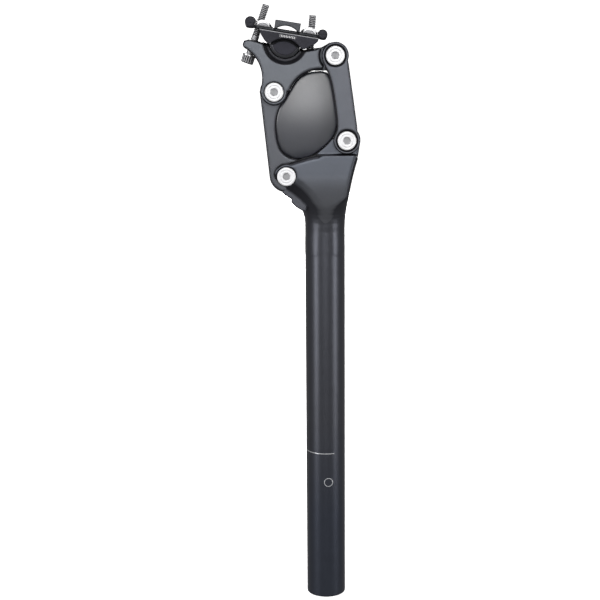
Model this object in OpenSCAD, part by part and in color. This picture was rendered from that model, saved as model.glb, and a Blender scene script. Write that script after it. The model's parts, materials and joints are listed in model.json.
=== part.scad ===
// Suspension seatpost: a fork-ended post, two parallel links, a head carrying a
// two-bolt saddle clamp, and an egg-shaped elastomer between the links.
// Frame: the tube axis is Z with Z = 0 at its lower end, +X is the front of the
// bicycle and -Y its right-hand side. The linkage is drawn fully extended.

/* [Tube] */
// outside diameter of the seatpost tube
tube_d = 27.2; // [25.4:0.1:31.6]
// bore of the tube
tube_bore = 22.8; // [20:0.2:26]
// height at which the tube starts to flare
tube_h = 258; // [200:1:300]
// depth of the tube bore
bore_h = 268; // [200:1:280]

/* [Linkage] */
// lower rear pivot, distance in front of the tube axis
low_x = -25.8; // [-35:0.1:-15]
// lower rear pivot, height
low_z = 300.2; // [280:0.1:320]
// distance between the two lower pivots
base_l = 46.5; // [40:0.1:55]
// angle of the line through the lower pivots
base_a = 30.2; // [20:0.1:40]
// length of each link
link_l = 56; // [45:0.5:70]
// rearward lean of the links
lean = 7.8; // [0:0.1:20]

/* [Widths] */
// width over the forks
fork_w = 38; // [34:0.5:44]
// gap inside the forks
slot_w = 26; // [22:0.5:30]
// width of the narrow ends
narrow_w = 24; // [20:0.5:28]
// width of the saddle clamp
clamp_w = 54; // [50:1:60]
// width of the elastomer
spring_w = 25; // [20:0.5:26]

/* [Pivots] */
// radius of the pivot axles
axle_r = 4; // [3:0.1:5]
// radius of the bushing sleeves
sleeve_r = 5.5; // [5:0.1:7]
// radius of the bushing flanges
flange_r = 7.4; // [6:0.1:9]
// thickness of the bushing flanges
flange_t = 0.8; // [0.5:0.1:0.9]
// radius of the pivot bolt heads
head_r = 6.2; // [5:0.1:7]
// thickness of the pivot bolt heads
head_t = 3.3; // [2:0.1:4]

/* [Saddle clamp] */
// downward slope of the clamp towards the front
clamp_a = 9.4; // [0:0.1:15]
// diameter of the saddle rails
rail_d = 7; // [7:0.1:9]
// distance between the saddle rails
rail_gap = 44; // [40:0.5:48]
// lean of the rear clamp bolt
rear_a = 19.5; // [0:0.5:25]
// lean of the front clamp bolt
front_a = 5; // [0:0.5:15]
// radius of the clamp bolts
bolt_r = 2.5; // [2:0.1:3]

/* [Hidden] */
$fn = 72;
tube_r = tube_d / 2;
ear_t = (fork_w - slot_w) / 2;
ear_y = (fork_w + slot_w) / 4;
D = [low_x, low_z];
C = D + base_l * [cos(base_a), sin(base_a)];
A = D + link_l * [-sin(lean), cos(lean)];
B = C + link_l * [-sin(lean), cos(lean)];
ledge_z = 314;
ledge_x = 22.6;
boss_r = 8.6;
run = 0.05;
tap_r = 2.5;
shank_r = 2.45;
seat_y = 16;
// saddle clamp: centre of the rocker, rail height above it
P = [-25.8, 388];
rocker_r = 10.3;
arch_r = 13;
arch_top = 2.2;
rail_z = 6.9;
lip_z = 5.7;
rail_r = rail_d / 2;
nut_rear = [-18.5, 9];
nut_front = [16, 9];
hole_r = 2.9;
pad_z = 7.7;
nut_rear_x = -15.6;
nut_front_x = 14.6;
nut_z = 5.3;
nut_r = 6.4;
// elastomer outline: knots of a smooth closed curve, counter-clockwise from the top
EGG = [[-6, 368.8], [-13, 366.8], [-18.5, 362.3], [-25, 352.7], [-30.6, 343.3], [-32.7, 332],
  [-30.3, 318.5], [-22.5, 311.8], [-12.5, 311.6], [-2, 317.8], [6.2, 327], [8.4, 337], [6.4, 353],
  [3.4, 364.8], [0, 368.6]];
egg_c = [-11.8, 339.8];
link_in = 4.5;
link_out = 7.85;
link_boss = 8.9;
under_c = [-3, 348.6];
under_r = 21.3;
// levels down to which the head stays clear of the cradle's feet and of its middle
foot_z = -3.9;
crest_z = -1.3;
crest_w = 20;
// space around the rocker in the head, and the recess at its two ends
seat_r = 14.2;
recess_r = 12.6;
// hollow under the head's rear arm
scoop_c = [-63.5, 364.9];
scoop_r = 22.3;
// clamp bolts: underside of the head and threaded end, measured from the nut
bolt_rear_s = [-22.4, 12.9];
bolt_front_s = [-18, 10.7];
bolt_head_r = 4.25;
bolt_head_h = 5;

// ---------- helpers ----------

// a point at radius r and angle a from c
function pol(c, r, a) = c + r * [cos(a), sin(a)];

// point t (0 to 1) of the smooth curve between knots b and c, with neighbours a and d
function spline(a, b, c, d, t) = 0.5 * (2 * b + (c - a) * t + (2 * a - 5 * b + 4 * c - d) * t * t
  + (3 * b - a - 3 * c + d) * t * t * t);

// outline of the elastomer grown by g, with n points between knots
function egg(g, n = 4) = let (m = len(EGG), k = m * n,
  p = [for (i = [0:k - 1]) let (j = floor(i / n))
    spline(EGG[(j + m - 1) % m], EGG[j], EGG[(j + 1) % m], EGG[(j + 2) % m], (i % n) / n)])
  [for (i = [0:k - 1]) let (v = p[(i + 1) % k] - p[(i + k - 1) % k])
    p[i] + g * [v[1], -v[0]] / norm(v)];

module disc(c, r) {
  translate(c) circle(r);
}

// side outline (X, Z) given a thickness w centred on y
module plate(w, y = 0) {
  translate([0, y + w / 2, 0]) rotate([90, 0, 0]) linear_extrude(w) children();
}

// the same outline at both fork ears
module ears() {
  for (s = [-1, 1]) plate(ear_t, s * ear_y) children();
}

// two rods of width w joined by their outer tangents, the sides a hair inside
module bar(w, p, q, rp, rq) {
  e = 0.02;
  v = q - p;
  a = atan2(v[1], v[0]);
  b = acos((rp - rq) / norm(v));
  plate(w) disc(p, rp);
  plate(w) disc(q, rq);
  plate(w) polygon([pol(p, rp - e, a + b), pol(q, rq - e, a + b), pol(q, rq - e, a - b),
    pol(p, rp - e, a - b)]);
}

// a rod along Y through point p
module rod(p, r, w) {
  plate(w) disc(p, r);
}

// bore and bolt-head recesses of a fork end
module fork_bore(p) {
  rod(p, axle_r + 0.03, fork_w + 2);
  for (s = [-1, 1]) plate(4, s * (seat_y + 2)) disc(p, head_r + 0.25);
}

// places children given in the clamp's own tilted frame
module clamp_frame() {
  translate([P[0], 0, P[1]]) rotate([0, clamp_a, 0]) children();
}

// places a clamp bolt: Z along the bolt from the nut centre p, leaning by a
module on_bolt(p, a) {
  clamp_frame() translate([p[0], 0, p[1]]) rotate([0, a - clamp_a, 0]) children();
}

// ---------- post ----------

flank_r = 178.7;
heel_r = 28;
heel_z = 264.6;

module post_outline() {
  difference() {
    union() {
      disc(D, boss_r);
      polygon([[-tube_r, tube_h], [-tube_r, heel_z], [-24, heel_z], [-24, 286.6],
        pol(D, boss_r, 225), pol(D, boss_r, 150), pol(D, boss_r, 85), [-20, 310.2],
        [-13, 312.3], [-8, 313.5], [-4.9, ledge_z], [ledge_x, ledge_z], [ledge_x, tube_h]]);
    }
    disc([tube_r + flank_r, tube_h], flank_r, $fn = 360);
    disc([-tube_r - heel_r, heel_z], heel_r, $fn = 180);
  }
}

// limits the width: narrow at the tube, full at the forks
module post_taper() {
  rotate([90, 0, 90]) linear_extrude(120, center = true)
    polygon([[-13.2, 250], [13.2, 250], [13.2, tube_h], [fork_w / 2, 298], [fork_w / 2, 340],
      [-fork_w / 2, 340], [-fork_w / 2, 298], [-13.2, tube_h]]);
}

// rounds the corners where the tube flares into the fork
module post_flare() {
  g = 0.4;
  rotate_extrude($fn = 144)
    polygon(concat([[0, 250], [tube_r, 250], [tube_r, tube_h + 4]],
      [for (a = [0:7.5:45]) [tube_r + g + heel_r * (1 - cos(a)), heel_z + heel_r * sin(a)]],
      [[60, 322], [60, 340], [0, 340]]));
}

module post_tube() {
  rotate_extrude($fn = 144)
    polygon([[0, 0], [tube_r, 0], [tube_r, tube_h + 4], [0, tube_h + 4]]);
}

// narrow tongue at the lower front pivot
module post_tongue() {
  disc(C, 9.3);
  polygon([C + [-9.3, 0], [-6, 313], [-6, 305], [20, 305], [ledge_x - 0.3, ledge_z],
    C + [9.3, 0]]);
}

// bridge that closes the fork slot from below
module post_lip() {
  polygon([[-29.6, 289], [-22.6, 284.3], [-23, 282.6], [-20.2, 279.4], [-16.2, 276.8], [-13, 276],
    [-11, 287], [-20, 297]]);
}

module post() {
  color([0.16, 0.17, 0.19])
  difference() {
    union() {
      post_tube();
      intersection() {
        plate(fork_w) post_outline();
        post_taper();
        post_flare();
      }
      plate(narrow_w) post_tongue();
      plate(slot_w + 1) post_lip();
    }
    translate([0, 0, -1]) cylinder(r = tube_bore / 2, h = bore_h + 1, $fn = 144);
    translate([0, 0, bore_h - 0.01])
      cylinder(r1 = tube_bore / 2, r2 = 4, h = 8, $fn = 144);
    plate(slot_w) {
      disc(D, 12.2);
      polygon([D + [12.2, 0], [D[0] + 12.2, 325], [-60, 325], [-60, 291], pol(D, 11.6, 236)]);
      polygon(egg(0.5));
    }
    fork_bore(D);
    rod(C, sleeve_r + 0.02, fork_w);
  }
}

// ---------- links ----------

module rear_link() {
  color([0.10, 0.11, 0.12])
  difference() {
    bar(narrow_w, D, A, 11.4, 9.6);
    plate(fork_w) {
      polygon(egg(0.3));
      translate(D) rotate(lean) translate([9.3, 12]) square([10, 60]);
    }
    rod(D, sleeve_r + 0.02, fork_w);
    rod(A, sleeve_r + 0.02, fork_w);
  }
}

module front_link_bar() {
  n = [cos(lean), sin(lean)];
  polygon([C - link_in * n, C + link_out * n, B + link_out * n, B - link_in * n]);
}

module front_link() {
  color([0.22, 0.23, 0.25])
  difference() {
    union() {
      ears() {
        disc(B, link_boss);
        disc(C, link_boss);
        front_link_bar();
      }
      plate(slot_w + 1) difference() {
        front_link_bar();
        disc(B, 10.6);
        disc(C, 10.6);
        polygon(egg(0.3));
      }
    }
    fork_bore(B);
    fork_bore(C);
  }
}

// ---------- head ----------

module head_outline() {
  difference() {
    union() {
      disc(A, boss_r + 0.2);
      polygon([pol(A, boss_r + 0.2, 190), [-46, 360], [-46, 377.9], [-53, 383.5], [-53.6, 386.8],
        [-52.6, 389], [-50.4, 389.7], [-46.5, 389.2], [-40, 387.4], [-36, 386.7], [-30, 387.5], [-20, 386], [-13.6, 382.3],
        [-3, 383.9], [B[0], B[1] + 4], [B[0], 366], [-22, 357], [-24.4, 352], pol(A, boss_r, 0)]);
    }
    disc(scoop_c, scoop_r, $fn = 144);
    disc(under_c, under_r, $fn = 144);
    disc(P, rocker_r + 0.3, $fn = 144);
  }
}

// space above level z in the clamp's tilted frame, around the rocker
module seat_space(z) {
  intersection() {
    disc(P, seat_r);
    translate(P) rotate(-clamp_a) translate([-20, z]) square([40, 30]);
  }
}

// swept space of a clamp bolt through the head, in the bolt's own frame
module bolt_slot(s0, s1, r, swing) {
  for (k = [-1, 0, 1]) translate([k * swing, 0, s0]) cylinder(r = r, h = s1 - s0);
  translate([-swing, -r, s0]) cube([2 * swing, 2 * r, s1 - s0]);
}

module head() {
  color([0.42, 0.44, 0.46])
  difference() {
    union() {
      plate(fork_w) difference() {
        head_outline();
        disc(B, 10.4);
        translate([B[0] - 8, 300]) square([60, 150]);
      }
      plate(narrow_w) difference() {
        union() {
          disc(B, 8.8);
          polygon([[-12, 382.5], [-3, 383.9], pol(B, 8.8, 112), pol(B, 8.8, 240), [-2, 371],
            [-12, 369]]);
        }
        disc(under_c, under_r, $fn = 144);
      }
    }
    // space for the cradle's feet, with a crest left between them
    for (s = [-1, 1]) plate(fork_w / 2, s * (crest_w + fork_w / 2) / 2) seat_space(foot_z);
    plate(crest_w + 1) seat_space(crest_z);
    // recess around the rocker ends
    for (s = [-1, 1]) plate(5, s * (fork_w / 2)) disc(P, recess_r);
    // fork slot for the rear link
    plate(slot_w) {
      disc(A, 10.4);
      translate([-60, 330]) square([60, A[1] - 330]);
    }
    fork_bore(A);
    rod(B, sleeve_r + 0.02, fork_w);
    on_bolt(nut_rear, rear_a) bolt_slot(-21, 2, hole_r, 1.5);
    on_bolt(nut_rear, rear_a) bolt_slot(-40, -20.9, 5.6, 1.6);
    on_bolt(nut_front, front_a) bolt_slot(-20, 2, hole_r, 1.1);
    on_bolt(nut_front, front_a) bolt_slot(-30, -16.6, 5.1, 1.2);
  }
}

// ---------- elastomer ----------

module elastomer() {
  crown = 170;
  color([0.20, 0.20, 0.22])
  intersection() {
    plate(spring_w) polygon(egg(0));
    crowned(crown);
  }
}

// space between two large spheres, which crowns the side faces
module crowned(r) {
  intersection() {
    translate([egg_c[0], r - spring_w / 2, egg_c[1]]) sphere(r, $fn = 240);
    translate([egg_c[0], spring_w / 2 - r, egg_c[1]]) sphere(r, $fn = 240);
  }
}

// ---------- pivot hardware ----------

module axle(p) {
  color([0.70, 0.71, 0.72])
  difference() {
    rod(p, axle_r, 2 * seat_y - 0.4);
    rod(p, tap_r, 2 * seat_y);
  }
}

// side = -1 is the right-hand side of the bicycle
module pivot_bolt(p, side) {
  color([0.86, 0.87, 0.88])
  difference() {
    union() {
      plate(head_t, side * (seat_y + head_t / 2)) disc(p, head_r);
      plate(10, side * (seat_y - 5)) disc(p, shank_r);
    }
    plate(4, side * (seat_y + head_t)) translate(p) circle(4.6 / sqrt(3), $fn = 6);
  }
}

module bushing(p, side) {
  sleeve_l = 11.4;
  color([0.62, 0.55, 0.40])
  difference() {
    union() {
      plate(sleeve_l, side * (narrow_w / 2 - sleeve_l / 2)) disc(p, sleeve_r);
      plate(flange_t, side * (narrow_w / 2 + flange_t / 2)) disc(p, flange_r);
    }
    rod(p, axle_r + run, fork_w);
  }
}

// ---------- saddle clamp ----------

module rail_grooves(r) {
  for (s = [-1, 1])
    translate([-40, s * rail_gap / 2, rail_z]) rotate([0, 90, 0]) cylinder(r = r, h = 80);
}

module arch() {
  disc([0.6, arch_top - arch_r], arch_r, $fn = 144);
}

module clamp_cradle() {
  color([0.14, 0.14, 0.15])
  difference() {
    clamp_frame() difference() {
      plate(clamp_w) difference() {
        polygon([[-17.7, lip_z], [21, lip_z], [21, 3.8], [19.1, 1.5], [12.9, -2.7], [-10.7, -2.7],
          [-13.4, -0.9], [-16.2, 2.4]]);
        arch();
      }
      rail_grooves(rail_r);
      plate(35) translate([-30, 5.2]) square([60, 5]);
      // the middle has no feet, so that the head's crest fits between them
      plate(crest_w + 2) translate([-30, -5]) square([60, 5.2]);
    }
    on_bolt(nut_rear, rear_a) translate([0, 0, -30]) cylinder(r = hole_r, h = 40);
    on_bolt(nut_front, front_a) translate([0, 0, -30]) cylinder(r = hole_r, h = 40);
  }
}

module clamp_rocker() {
  color([0.30, 0.31, 0.33])
  clamp_frame() plate(fork_w + 1) intersection() {
    disc([0, 0], rocker_r, $fn = 144);
    disc([0.6, arch_top - arch_r], arch_r - 0.02, $fn = 144);
  }
}

module clamp_top() {
  base_z = 6.1;
  color([0.34, 0.35, 0.37])
  difference() {
    clamp_frame() difference() {
      union() {
        plate(35) polygon([[-26, base_z], [25, base_z], [25, pad_z], [-26, pad_z]]);
        plate(clamp_w) difference() {
          polygon([[-8.3, 7.2], [8.3, 7.2], [8.3, 12.9], [9.5, 13.2], [-10.4, 13.2],
            [-8.3, 12.9]]);
          disc([-0.2, -0.8], 11, $fn = 96);
        }
        bar(35, [-24.4, 9.2], [-24.9, 8.2], 3.6, 2.6);
        bar(35, [23.3, 8.6], [23.8, 8], 3.2, 2.6);
      }
      rail_grooves(rail_r);
      // seats of the two cross nuts
      for (x = [nut_rear_x, nut_front_x]) plate(clamp_w) intersection() {
        disc([x, nut_z], nut_r + 0.25);
        translate([x - 10, pad_z]) square([20, 10]);
      }
    }
    on_bolt(nut_rear, rear_a) translate([0, 0, -20]) cylinder(r = hole_r, h = 40);
    on_bolt(nut_front, front_a) translate([0, 0, -20]) cylinder(r = hole_r, h = 40);
  }
}

// half-round cross nut lying on the top plate and over both rails
module barrel_nut(x, p, a) {
  color([0.80, 0.81, 0.83])
  difference() {
    clamp_frame() difference() {
      plate(52) intersection() {
        disc([x, nut_z], nut_r);
        translate([x - 10, pad_z + run]) square([20, 10]);
      }
      rail_grooves(rail_r);
    }
    on_bolt(p, a) translate([0, 0, -20]) cylinder(r = bolt_r + 0.08, h = 40);
  }
}

// s = underside of the head and threaded end, measured from the nut
module clamp_bolt(p, a, s) {
  socket_w = 4;
  color([0.18, 0.18, 0.19])
  on_bolt(p, a) difference() {
    union() {
      translate([0, 0, s[0]]) cylinder(r = bolt_r, h = s[1] - s[0]);
      translate([0, 0, s[0] - bolt_head_h]) cylinder(r = bolt_head_r, h = bolt_head_h);
    }
    translate([0, 0, s[0] - bolt_head_h - 1]) cylinder(r = socket_w / sqrt(3), h = 3.6, $fn = 6);
  }
}

module clamp_washer(p, a, s) {
  color([0.55, 0.56, 0.58])
  on_bolt(p, a) translate([0, 0, s[0]]) difference() {
    cylinder(r = bolt_head_r + 0.35, h = 1);
    translate([0, 0, -1]) cylinder(r = bolt_r + 0.05, h = 3);
  }
}

// ---------- nodes ----------

post();
rear_link();
front_link();
head();
elastomer();
axle(D);  // axle_lower_rear
axle(C);  // axle_lower_front
axle(A);  // axle_upper_rear
axle(B);  // axle_upper_front
pivot_bolt(D, -1);  // pivot_bolt_lower_rear_right
pivot_bolt(D, 1);  // pivot_bolt_lower_rear_left
pivot_bolt(C, -1);  // pivot_bolt_lower_front_right
pivot_bolt(C, 1);  // pivot_bolt_lower_front_left
pivot_bolt(A, -1);  // pivot_bolt_upper_rear_right
pivot_bolt(A, 1);  // pivot_bolt_upper_rear_left
pivot_bolt(B, -1);  // pivot_bolt_upper_front_right
pivot_bolt(B, 1);  // pivot_bolt_upper_front_left
bushing(D, -1);  // bushing_lower_rear_right
bushing(D, 1);  // bushing_lower_rear_left
bushing(C, -1);  // bushing_lower_front_right
bushing(C, 1);  // bushing_lower_front_left
bushing(A, -1);  // bushing_upper_rear_right
bushing(A, 1);  // bushing_upper_rear_left
bushing(B, -1);  // bushing_upper_front_right
bushing(B, 1);  // bushing_upper_front_left
clamp_cradle();
clamp_rocker();
clamp_top();
barrel_nut(nut_rear_x, nut_rear, rear_a);  // barrel_nut_rear
barrel_nut(nut_front_x, nut_front, front_a);  // barrel_nut_front
clamp_bolt(nut_rear, rear_a, bolt_rear_s);  // clamp_bolt_rear
clamp_bolt(nut_front, front_a, bolt_front_s);  // clamp_bolt_front
clamp_washer(nut_rear, rear_a, bolt_rear_s);  // clamp_washer_rear
clamp_washer(nut_front, front_a, bolt_front_s);  // clamp_washer_front
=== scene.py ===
"""Looks of the suspension seatpost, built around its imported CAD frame.

Forged and moulded pieces are signed distances in millimetres, meshed on a grid, and
turned pieces are lathed. Pivots, widths and grids come from the frame's joints and boxes,
and outlines are in the frame's own X and Z. In both, join and cut, the last argument is
the radius of the edge.
"""

import json
import math

import bpy
import numpy as np
from mathutils import Matrix, Vector


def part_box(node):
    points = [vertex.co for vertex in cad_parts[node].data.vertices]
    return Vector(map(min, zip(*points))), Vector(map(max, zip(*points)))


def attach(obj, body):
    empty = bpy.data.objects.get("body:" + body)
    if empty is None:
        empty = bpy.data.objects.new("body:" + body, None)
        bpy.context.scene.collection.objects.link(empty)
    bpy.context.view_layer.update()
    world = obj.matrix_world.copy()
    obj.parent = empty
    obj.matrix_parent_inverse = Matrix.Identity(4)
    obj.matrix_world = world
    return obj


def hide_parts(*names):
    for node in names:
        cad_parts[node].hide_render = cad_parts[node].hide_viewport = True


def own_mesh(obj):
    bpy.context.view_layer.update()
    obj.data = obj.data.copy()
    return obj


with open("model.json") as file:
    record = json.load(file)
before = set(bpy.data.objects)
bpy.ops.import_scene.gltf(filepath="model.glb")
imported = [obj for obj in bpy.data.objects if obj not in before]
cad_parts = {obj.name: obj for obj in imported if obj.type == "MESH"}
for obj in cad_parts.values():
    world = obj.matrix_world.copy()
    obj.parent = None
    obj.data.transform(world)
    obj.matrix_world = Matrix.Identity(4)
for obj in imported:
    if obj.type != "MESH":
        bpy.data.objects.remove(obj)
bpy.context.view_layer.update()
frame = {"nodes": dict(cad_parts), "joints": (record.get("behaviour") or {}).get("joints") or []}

MM = 0.001
nodes = frame["nodes"]
joints = {j["name"]: j for j in frame["joints"]}


def added(name, data):
    """A new object in the scene."""
    o = bpy.data.objects.new(name, data)
    bpy.context.scene.collection.objects.link(o)
    return o


# ---------- camera ----------

# place in metres, then turns in degrees from looking straight down and about the view
CAMERA_AT, CAMERA_UP, CAMERA_ROLL = (-0.0174, -0.912, 0.3985), 78.5, -0.42

camera_data = bpy.data.cameras.new("camera")
camera_data.lens = 81
camera_data.sensor_width = 36
camera = added("camera", camera_data)
camera.matrix_world = (Matrix.Translation(CAMERA_AT)
                       @ Matrix.Rotation(math.radians(CAMERA_UP), 4, "X")
                       @ Matrix.Rotation(math.radians(CAMERA_ROLL), 4, "Z"))
bpy.context.scene.camera = camera
bpy.context.scene.view_settings.view_transform = "Standard"


def joint_point(name):
    """(X, Z) of a hinge in millimetres."""
    p = joints[name]["pos_m"]
    return np.array([p[0], p[2]]) / MM


def node_box(name):
    """Lowest and highest corner of a CAD node in millimetres."""
    low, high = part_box(name)
    return np.array(low) / MM, np.array(high) / MM


# ---------- driving places and sizes, in millimetres ----------

# pivots: lower rear, lower front, upper rear, upper front, and the saddle clamp's rocker
D = joint_point("rear_link")
C = joint_point("front_link")
A = joint_point("head")
B = C + (A - D)
P = joint_point("clamp_tilt")
# directions along a link and square to it, towards the front
LINK = (A - D) / np.linalg.norm(A - D)
LINK_N = np.array([LINK[1], -LINK[0]])
# half widths: outer links and forks, inner links, the slot between forks, clamp, elastomer
FORK = node_box("front_link")[1][1]
NARROW = node_box("rear_link")[1][1]
SLOT = 13.0
CLAMP = node_box("clamp_cradle")[1][1]
SPRING = node_box("elastomer")[1][1]
# pivot bolt heads: distance of their seat from the middle plane, radius and thickness
SEAT, HEAD_R, HEAD_T = 16.0, 6.2, 3.3
AXLE_R, SLEEVE_R = 4.0, 5.5
# tube radius and bore radius, and the tops of the bore and of the plain tube in the fork
TUBE, BORE, BORE_TOP, TUBE_END = 13.6, 11.4, 268.0, 270.0
# the clamp's rest angle
TILT = math.radians(9.4)
# play around the elastomer, and around bolt heads and the rocker
GAP, PLAY = 0.1, 0.3


# ---------- signed distances ----------

def disc(x, z, c, r):
    """Signed distance to a circle."""
    return np.hypot(x - c[0], z - c[1]) - r


def polygon(x, z, points):
    """Signed distance to a closed outline, negative inside."""
    pts = np.array(points, float)
    shape = np.broadcast(x, z).shape
    best = np.full(shape, 1e12)
    sign = np.ones(shape)
    for i in range(len(pts)):
        a, b = pts[i], pts[i - 1]
        ex, ez = b - a
        wx, wz = x - a[0], z - a[1]
        t = np.clip((wx * ex + wz * ez) / (ex * ex + ez * ez), 0, 1)
        best = np.minimum(best, (wx - ex * t) ** 2 + (wz - ez * t) ** 2)
        above, below = z >= a[1], z < b[1]
        left = ex * wz > ez * wx
        flip = (above & below & left) | (~above & ~below & ~left)
        sign = np.where(flip, -sign, sign)
    return sign * np.sqrt(best)


def capsule(x, z, p, q, rp, rq):
    """Two discs and their outer tangents."""
    v = np.array(q) - np.array(p)
    length = np.linalg.norm(v)
    a = math.atan2(v[1], v[0])
    b = math.acos((rp - rq) / length)
    at = lambda c, r, t: (c[0] + r * math.cos(t), c[1] + r * math.sin(t))
    sides = [at(p, rp, a + b), at(q, rq, a + b), at(q, rq, a - b), at(p, rp, a - b)]
    return np.minimum(np.minimum(disc(x, z, p, rp), disc(x, z, q, rq)), polygon(x, z, sides))


def both(a, b, r):
    """Intersection whose edge is rounded to radius r."""
    u, v = np.maximum(a + r, 0), np.maximum(b + r, 0)
    return np.minimum(np.maximum(a, b), -r) + np.hypot(u, v)


def chamfered(a, b, c):
    """Intersection with its edge cut off at 45 degrees, c wide on each side."""
    return np.maximum(np.maximum(a, b), (a + b + c) * math.sqrt(0.5))


def join(a, b, r):
    """Union whose inner corner is filled to radius r."""
    return -both(-a, -b, r)


def cut(a, b, r):
    """a without b, the new edge rounded to radius r."""
    return both(a, -b, r)


def soft_max(a, b, k):
    """The larger of two distances, blended where they differ by less than k."""
    h = np.maximum(k - np.abs(a - b), 0) / k
    return np.maximum(a, b) + h * h * k / 4


def arc(c, r, a0, a1, n):
    """Points along an arc, angles in degrees."""
    t = np.radians(np.linspace(a0, a1, n))
    return [(c[0] + r * math.cos(i), c[1] + r * math.sin(i)) for i in t]


# ---------- meshing ----------

def spaced(low, high, step):
    """Evenly spaced numbers from low to high, at most step apart."""
    return np.linspace(low, high, int(math.ceil((high - low) / step)) + 1)


def surface(f, xs, ys, zs):
    """Vertices and quads of the surface f = 0 on a rectilinear grid (surface nets)."""
    X, Y, Z = xs[:, None, None], ys[None, :, None], zs[None, None, :]
    v = np.broadcast_to(f(X, Y, Z), (len(xs), len(ys), len(zs)))
    inside = v < 0
    cells = tuple(n - 1 for n in v.shape)
    count = np.zeros(cells)
    total = np.zeros(cells + (3,))
    grid = (xs, ys, zs)
    crossings = []
    for axis in range(3):
        lo = [slice(None)] * 3
        hi = [slice(None)] * 3
        lo[axis], hi[axis] = slice(0, -1), slice(1, None)
        lo, hi = tuple(lo), tuple(hi)
        at = np.argwhere(inside[lo] != inside[hi])
        nxt = at.copy()
        nxt[:, axis] += 1
        v0, v1 = v[tuple(at.T)], v[tuple(nxt.T)]
        t = v0 / (v0 - v1)
        point = np.stack([grid[k][at[:, k]] for k in range(3)], 1).astype(float)
        point[:, axis] += t * (grid[axis][nxt[:, axis]] - grid[axis][at[:, axis]])
        others = [k for k in range(3) if k != axis]
        inner = np.ones(len(at), bool)
        for k in others:
            inner &= (at[:, k] > 0) & (at[:, k] < v.shape[k] - 1)
        at, point, v0 = at[inner], point[inner], v0[inner]
        for du in (0, 1):
            for dv in (0, 1):
                cell = at.copy()
                cell[:, others[0]] -= du
                cell[:, others[1]] -= dv
                np.add.at(count, tuple(cell.T), 1)
                np.add.at(total, tuple(cell.T), point)
        crossings.append((axis, others, at, v0 < 0))
    used = count > 0
    index = -np.ones(cells, int)
    index[used] = np.arange(used.sum())
    verts = total[used] / count[used][:, None]
    faces = []
    for axis, others, at, enters in crossings:
        ring = []
        for du, dv in ((1, 1), (0, 1), (0, 0), (1, 0)):
            cell = at.copy()
            cell[:, others[0]] -= du
            cell[:, others[1]] -= dv
            ring.append(index[tuple(cell.T)])
        quad = np.stack(ring, 1)
        turn = enters if axis != 1 else ~enters
        faces.append(np.where(turn[:, None], quad, quad[:, ::-1]))
    return verts, np.concatenate(faces)


def settle(f, verts, step, rounds=4):
    """Moves grid vertices onto the surface along the gradient."""
    e = 0.01
    for _ in range(rounds):
        x, y, z = verts.T
        d = f(x, y, z)
        g = np.stack([f(x + e, y, z) - f(x - e, y, z), f(x, y + e, z) - f(x, y - e, z),
                      f(x, y, z + e) - f(x, y, z - e)], 1) / (2 * e)
        size = np.maximum((g * g).sum(1), 0.05)
        move = -(d / size)[:, None] * g
        far = np.linalg.norm(move, axis=1, keepdims=True)
        verts = verts + move * np.minimum(1, 0.4 * step / np.maximum(far, 1e-9))
    return verts


def mesh_object(name, verts, faces, body, sharp=None):
    """A smooth-shaded piece on a body, sharp = the angle in degrees that stays an edge."""
    mesh = bpy.data.meshes.new(name)
    mesh.from_pydata((np.asarray(verts, float) * MM).tolist(), [],
                     [list(map(int, face)) for face in faces])
    mesh.validate()
    mesh.shade_smooth()
    if sharp:
        mesh.set_sharp_from_angle(angle=math.radians(sharp))
    piece = added(name, mesh)
    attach(piece, body)
    return piece


def formed(name, f, low, high, step, body, zs=None):
    """A piece whose surface is f = 0 inside the given box."""
    low, high = np.array(low) - 1.5 * step, np.array(high) + 1.5 * step
    grid = [spaced(low[k], high[k], step) for k in range(3)]
    if zs is not None:
        grid[2] = zs
    verts, faces = surface(f, *grid)
    return mesh_object(name, settle(f, verts, step), faces, body)


# ---------- elastomer outline ----------

# knots of a smooth closed curve, counter-clockwise from the top
EGG = [(-6.3, 368.35), (-13, 367.0), (-18.6, 362.6), (-25.1, 352.8), (-30.6, 343.3), (-32.7, 332),
       (-30.3, 318.5), (-22.5, 311.8), (-12.5, 311.6), (-2, 317.8), (6.2, 327), (8.4, 337),
       (6.4, 353), (3.4, 364.7), (0.1, 368.2)]


def smooth_loop(knots, n):
    """Points of the closed Catmull-Rom curve through the knots, n per knot."""
    k = np.array(knots, float)
    a, b, c, d = np.roll(k, 1, 0), k, np.roll(k, -1, 0), np.roll(k, -2, 0)
    t = (np.arange(n) / n)[None, :, None]
    a, b, c, d = (v[:, None, :] for v in (a, b, c, d))
    curve = 0.5 * (2 * b + (c - a) * t + (2 * a - 5 * b + 4 * c - d) * t * t
                   + (3 * b - a - 3 * c + d) * t ** 3)
    return curve.reshape(-1, 2)


EGG_STEP, EGG_MARGIN = 0.25, 16.0
egg_curve = smooth_loop(EGG, 8)
egg_x, egg_z = (spaced(egg_curve[:, k].min() - EGG_MARGIN, egg_curve[:, k].max() + EGG_MARGIN,
                       EGG_STEP) for k in (0, 1))
egg_table = polygon(egg_x[:, None], egg_z[None, :], egg_curve)


def egg(x, z):
    """Distance to the elastomer's outline, read from a fine table."""
    i = np.clip((x - egg_x[0]) / (egg_x[1] - egg_x[0]), 0, len(egg_x) - 1.001)
    j = np.clip((z - egg_z[0]) / (egg_z[1] - egg_z[0]), 0, len(egg_z) - 1.001)
    i, j = np.broadcast_arrays(i, j)
    i0, j0 = i.astype(int), j.astype(int)
    u, v = i - i0, j - j0
    return ((egg_table[i0, j0] * (1 - u) + egg_table[i0 + 1, j0] * u) * (1 - v)
            + (egg_table[i0, j0 + 1] * (1 - u) + egg_table[i0 + 1, j0 + 1] * u) * v)


# ---------- post ----------

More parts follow.
